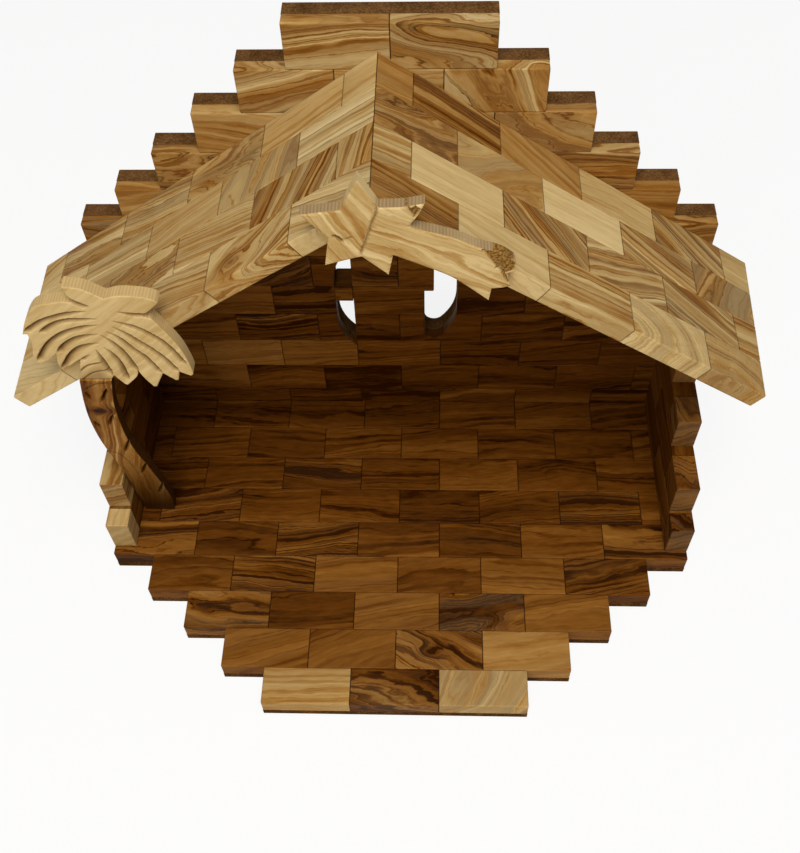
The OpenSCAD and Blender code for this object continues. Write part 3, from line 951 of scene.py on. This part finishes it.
def carved_plate(node, outline, step_mm, cuts, patches, thickness_mm, place, figure, turn_at,
                 slot, sawn_and_shade_at, knot_at=(1000, 1000)):
    """A flat piece of wood, carved on its front. place maps plate points to metres.

    The figure is tone, contrast, dark lines, bend, smoke and width of the bands. Two numbers
    say where its edge takes the saw colours, which on the trunk are painted shade: a level,
    and how it changes from faces that look down to faces that look up.
    """
    borders = [smooth_line(patch[0] + patch[0][:1], step_mm) for patch in patches if patch[1]]
    points, triangles = net(outline, [cut[0] for cut in cuts] + borders, step_mm)
    depth, stain = carve(points, cuts)
    recessed, marks, shaded = lay_patches(points, patches)
    rim = to_line(points, outline + outline[:1])[0]
    depth = np.maximum(depth, recessed) + WORN_DEPTH_MM * np.clip(1 - rim / WORN_MM, 0, 1) ** 2
    # Painted shade of the cuts and of the trunk's foot, and the darker neck
    stain = np.maximum(stain, shaded)
    at_rim = [int(np.argmin(np.linalg.norm(points - p, axis=1))) for p in outline]
    verts = [place(p[0], p[1], back) for p, back in zip(points, depth)]
    verts += [place(p[0], p[1], depth[i] + (thickness_mm - depth[i]) * ring / RINGS)
              for ring in range(RINGS + 1) for i, p in zip(at_rim, outline)]
    mesh = bpy.data.meshes.new(node + "_carved")
    mesh.from_pydata(verts, [], plate_faces(points, triangles, outline))
    mesh.update()

    plate_grain(mesh, turn_at, figure[5], knot_at)
    front, around = len(points), RINGS + 1
    on_edge = at_rim * around
    # Painted light: the edge's tone is raised so that it looks as bright as the front
    tones = [figure[0]] * front + [figure[0] + EDGE_PAINTED_LIGHT] * len(on_edge)
    lengths = np.linalg.norm(np.diff(np.array(outline), axis=0), axis=1)
    run = [0.0] + list(np.cumsum(lengths))
    # The edge takes half of the painted shade and darkening of its front
    store(mesh, "POINT", figure=[(tone,) + figure[1:4] for tone in tones],
          smoke=[figure[4]] * len(verts), bark=list(marks) + list(marks[on_edge]),
          stain=list(stain) + list(0.5 * stain[on_edge]),
          edge_run_mm=[0.0] * front + run * around)
    # On the trunk this share is painted shade, strongest on faces that look sideways and down
    store(mesh, "FACE", sawn=[np.clip(sawn_and_shade_at[0] + sawn_and_shade_at[1] * p.normal.z, 0, 1)
                              if len(p.vertices) == 4 else 0.0 for p in mesh.polygons])
    return hand_over(put(mesh.name, mesh), node, woods[slot])


print("an edge of", RINGS, "rings")

# %% [markdown]
# The crown of the palm.
# The fronds fan out from one middle. Between two fronds the knife made a cut with one
# steep wall and one long slope, so that each frond seems to lie over the next. The
# cuts start as points near the middle and open towards the tips.

# %% Palm crown
CROWN_LINES = [
    [(6.3, 40.4), (1.4, 39.8), (-4.4, 38.2), (-11.1, 35.4), (-15.9, 32.1), (-19.9, 28.8)],
    [(9.4, 36.3), (5.1, 36.1), (0.3, 36.0), (-4.9, 34.8), (-9.4, 32.2), (-14.1, 28.4)],
    [(9.1, 32.8), (4.6, 32.2), (-0.8, 30.4), (-5.8, 28.1), (-10.7, 24.3), (-15.3, 19.2),
     (-20.1, 11.5)],
    [(7.7, 27.7), (2.6, 26.7), (-2.3, 24.8), (-7.3, 20.9), (-10.7, 16.6)],
    [(6.9, 22.5), (2.2, 21.4), (-2.2, 19.3), (-6.9, 14.5), (-12.0, 6.5)],
    [(0.5, 46.8), (3.8, 44.9), (8.3, 42.9)],
    [(1.4, 15.4), (-3.0, 12.0)],
    [(18.6, 39.9), (23.3, 38.7), (28.2, 39.1)],
    [(15.3, 35.1), (22.8, 31.9), (28.7, 27.0), (33.4, 20.8), (38.1, 9.5)],
    [(14.5, 31.9), (18.2, 28.6), (22.5, 23.6), (26.9, 18.6), (31.0, 12.1), (34.4, 5.0)],
    [(11.8, 29.0), (15.4, 25.7), (19.3, 19.4), (23.5, 13.4), (27.4, 4.0)],
    [(9.1, 26.9), (12.5, 22.7), (15.1, 17.7), (16.9, 11.6), (18.3, 5.3)],
    [(8.4, 19.8), (10.7, 15.9), (12.6, 9.8), (13.3, -0.2)],
    [(4.9, 18.0), (6.0, 12.4), (6.8, 7.0), (7.4, 2.5)],
]
CUT_DEPTH_MM, STEEP_MM, SLOPE_MM = 2.2, 0.8, 2.1
# The neck gets darker towards the trunk, with two ring lines across it
NECK = [(-9, -9), (-8.5, 3), (-2, 8), (3.5, 10), (6.6, 9.5), (7.6, 2.5), (9, -1), (9, -9)]
NECK_RINGS = [[(-5.8, -0.6), (0.4, 4.3), (8.2, 6.0)], [(-6.6, 3.4), (-1.0, 8.6), (5.6, 10.6)]]

crown_low, crown_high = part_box("palm_crown")
NECK_X_MM, NECK_Z_MM = -117.46, 138.93
crown_flat = [(p.x / MM - NECK_X_MM, p.z / MM - NECK_Z_MM) for p in front_outline("palm_crown")]
# Each cut is painted dark inside as its shade
crown_cuts = [(smooth_line(line, 0.5), STEEP_MM, SLOPE_MM, CUT_DEPTH_MM, 1.0, 8, 2)
              for line in CROWN_LINES]
crown_cuts += [(smooth_line(ring), 0.7, 0.7, 0.4, 1.0, 2, 2) for ring in NECK_RINGS]


def crown_place(x, z, back):
    return (NECK_X_MM + x) * MM, crown_low.y + back * MM, (NECK_Z_MM + z) * MM


def same_way(degrees):
    return lambda x, z: np.full(len(x), float(degrees))


crown = carved_plate("palm_crown", rounded(crown_flat), 0.45, crown_cuts,
                     [(NECK, 0.0, 0.0, 0.55, 5)], (crown_high.y - crown_low.y) / MM, crown_place,
                     (0.88, 0.15, 0.0, 0.12, 0.0, 1.0), same_way(40), "crown_wood", (0.4, 0.3))
print("crown:", len(crown.data.polygons), "faces")

# %% [markdown]
# The comet star.
# It is one flat piece with a tail to the right. Only a crease and two bits of bark at
# the rim of the log mark its smooth front.

# %% Comet star
star_low, star_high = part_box("comet_star")
star_flat = [(p.x / MM, p.z / MM) for p in front_outline("comet_star")]
STAR_CREASE = smooth_line([(-1.9, 233.0), (-2.2, 227.1), (-3.9, 222.3), (-5.6, 216.5),
                           (-7.5, 210.6), (-8.6, 207.5)])
STAR_SLIT = smooth_line([(-17.5, 216.9), (-15.5, 215.7), (-13.8, 213.6)])
STAR_NICK = smooth_line([(-13.6, 215.2), (-10.5, 216.1)])
ARM_BARK = [(6.8, 230.3), (9.1, 229.3), (10.6, 230.2), (12.4, 228.6), (11.4, 226.3), (10.0, 224.3),
            (8.6, 227.1), (7.7, 228.7)]
TAIL_BARK = [(31.9, 210.9), (39.4, 208.5), (42.9, 206.7), (44.6, 203.7), (45.0, 200.1),
             (41.5, 198.7), (43.2, 192.8), (41.4, 195.5), (39.2, 200.1), (36.8, 203.6),
             (34.8, 206.7)]
# The crease, the slit and the nick are painted dark inside as their shade
star_cuts = [(STAR_CREASE, 0.8, 0.8, 0.6, 0.6, 3, 3), (STAR_SLIT, 0.9, 0.9, 1.0, 1.0, 1, 1),
             (STAR_NICK, 0.5, 0.5, 0.3, 0.6, 1, 1)]
star_patches = [(border, 0.8, 0.95, 0.0, 1) for border in (ARM_BARK, TAIL_BARK)]


def star_place(x, z, back):
    return x * MM, star_low.y + back * MM, z * MM


def star_turn(x, z):
    """The figure falls steeply left of the crease and gently along the tail."""
    return np.where(x < -6 + (z - 216) * 0.25, -58.0, -30.0)


star = carved_plate("comet_star", rounded(star_flat, corner=math.radians(30)), 0.8, star_cuts,
                    star_patches, (star_high.y - star_low.y) / MM, star_place,
                    (0.82, 0.55, 0.06, 0.40, 0.0, 0.6), star_turn, "star_wood", (-1.9, 3.0))
print("star:", len(star.data.polygons), "faces")

# %% [markdown]
# The trunk.
# A slim stick with a swelling in the middle. Short slanting notches stand for the scars
# of old fronds. It leans back to its foot, so the plate is sheared as its solid is.

# %% Palm trunk
TRUNK_NOTCHES = [[(-114.7, 132.7), (-119.8, 122.2)], [(-118.1, 111.2), (-122.3, 101.7)],
                 [(-117.0, 88.5), (-122.0, 76.5)], [(-115.2, 65.0), (-120.0, 53.8)],
                 [(-111.9, 44.5), (-117.0, 31.8)], [(-124.2, 130.3), (-123.8, 123.9)],
                 [(-127.6, 105.4), (-126.8, 99.0)]]
TRUNK_RING = [(-124.4, 132.0), (-117.8, 136.6), (-111.8, 137.7)]
TRUNK_VEIN = [(-130.3, 78.2), (-125.6, 75.4), (-122.9, 68.2), (-121.9, 56.3), (-122.8, 40.6)]
TRUNK_KNOT = (-120.6, 114.4)
trunk_front = front_outline("palm_trunk")
foot_point = min(trunk_front, key=lambda p: p.z)
neck_point = max(trunk_front, key=lambda p: p.z)
lean = (neck_point.y - foot_point.y) / (neck_point.z - foot_point.z)
trunk_flat = [(p.x / MM, p.z / MM) for p in trunk_front]
# The notches are painted dark inside as their shade; the ring and the vein are dark lines
trunk_cuts = [(smooth_line(line, 0.6), 1.0, 1.0, 2.0, 1.0, 3, 3) for line in TRUNK_NOTCHES]
trunk_cuts += [(smooth_line(TRUNK_RING), 0.6, 0.6, 0.3, 0.7, 2, 2),
               (smooth_line(TRUNK_VEIN), 0.8, 0.8, 0.1, 0.5, 4, 4)]
# Painted shade: the trunk gets darker towards its foot
TRUNK_FOOT_SHADE = [([(-300, 75), (80, 75), (80, -200), (-300, -200)], 0.0, 0.0, 0.95, 55)]
TRUNK_THICKNESS_MM = 5.4


def trunk_place(x, z, back):
    return x * MM, foot_point.y + (z * MM - foot_point.z) * lean + back * MM, z * MM


# The trunk's edge is painted dark as shade where it looks sideways and down
trunk = carved_plate("palm_trunk", rounded(trunk_flat, corner=math.radians(50)), 0.7,
                     trunk_cuts, TRUNK_FOOT_SHADE, TRUNK_THICKNESS_MM, trunk_place,
                     (0.50, 0.42, 0.35, 0.30, 0.0, 0.8), same_way(78), "trunk_wood", (1.6, -1.6),
                     TRUNK_KNOT)
print("trunk:", len(trunk.data.polygons), "faces")

# %% [markdown]
# Floor, backdrop and light.
# A plain pale table, lit by a large soft lamp above, a weaker one in front and a dim
# sky. The camera sees the table mostly as an even white, and the rest keeps the soft
# shadow of the stable.

# %% Table and lamps
# How much of the table is even white to the camera
WHITE_SHARE = 0.85
TABLE_HALF_M, LAMP_SIZE_M = 6.0, 0.9
SKY_STRENGTH = 0.16
LIT_PLACE_M = Vector((0, 0, 0.1))


def seen_directly(node):
    """One for rays that show the background: of the camera, of a reflection, through glass."""
    camera_ray, mirrored, passed = (node("LightPath", out=f"Is {kind} Ray")
                                    for kind in ("Camera", "Glossy", "Transmission"))
    return node("Math MAXIMUM", node("Math MAXIMUM", camera_ray, mirrored), passed)


def pale_table():
    """A pale table that the camera sees as mostly even white."""
    material, node = empty_material("pale table")
    top = node("BsdfPrincipled", named={"Base Color": "#E0DDD8", "Roughness": 0.9})
    seen = node("Math MULTIPLY", seen_directly(node), WHITE_SHARE)
    node("OutputMaterial", node("MixShader", seen, top, node("Emission", (1, 1, 1, 1), 1)))
    return material


table_mesh = bpy.data.meshes.new("table")
corners = [(x * TABLE_HALF_M, y * TABLE_HALF_M, 0) for x, y in ((-1, -1), (1, -1), (1, 1), (-1, 1))]
table_mesh.from_pydata(corners, [], [(0, 1, 2, 3)])
table_mesh.materials.append(pale_table())
table = put("table", table_mesh)


def soft_lamp(name, place, watts):
    """A square lamp, placed in metres, that looks at the stable."""
    lamp = bpy.data.lights.new(name, "AREA")
    lamp.size = LAMP_SIZE_M
    lamp.energy = watts
    item = put(name, lamp)
    item.location = place
    item.rotation_euler = (LIT_PLACE_M - Vector(place)).to_track_quat("-Z", "Y").to_euler()


soft_lamp("key above the front", (0.10, -0.62, 1.70), watts=29)
soft_lamp("fill from the front", (-0.30, -1.35, 0.95), watts=9)

world = bpy.data.worlds.new("studio")
bpy.context.scene.world = world
world.use_nodes = True
world.node_tree.nodes.clear()
backdrop = partial(add, world.node_tree)
dim = backdrop("Background", (1, 1, 1, 1), SKY_STRENGTH)
white = backdrop("Background", (1, 1, 1, 1), 1)
backdrop("OutputWorld", backdrop("MixShader", seen_directly(backdrop), dim, white))
bpy.context.scene.view_settings.view_transform = "Standard"
print("table, two lamps and a plain world")
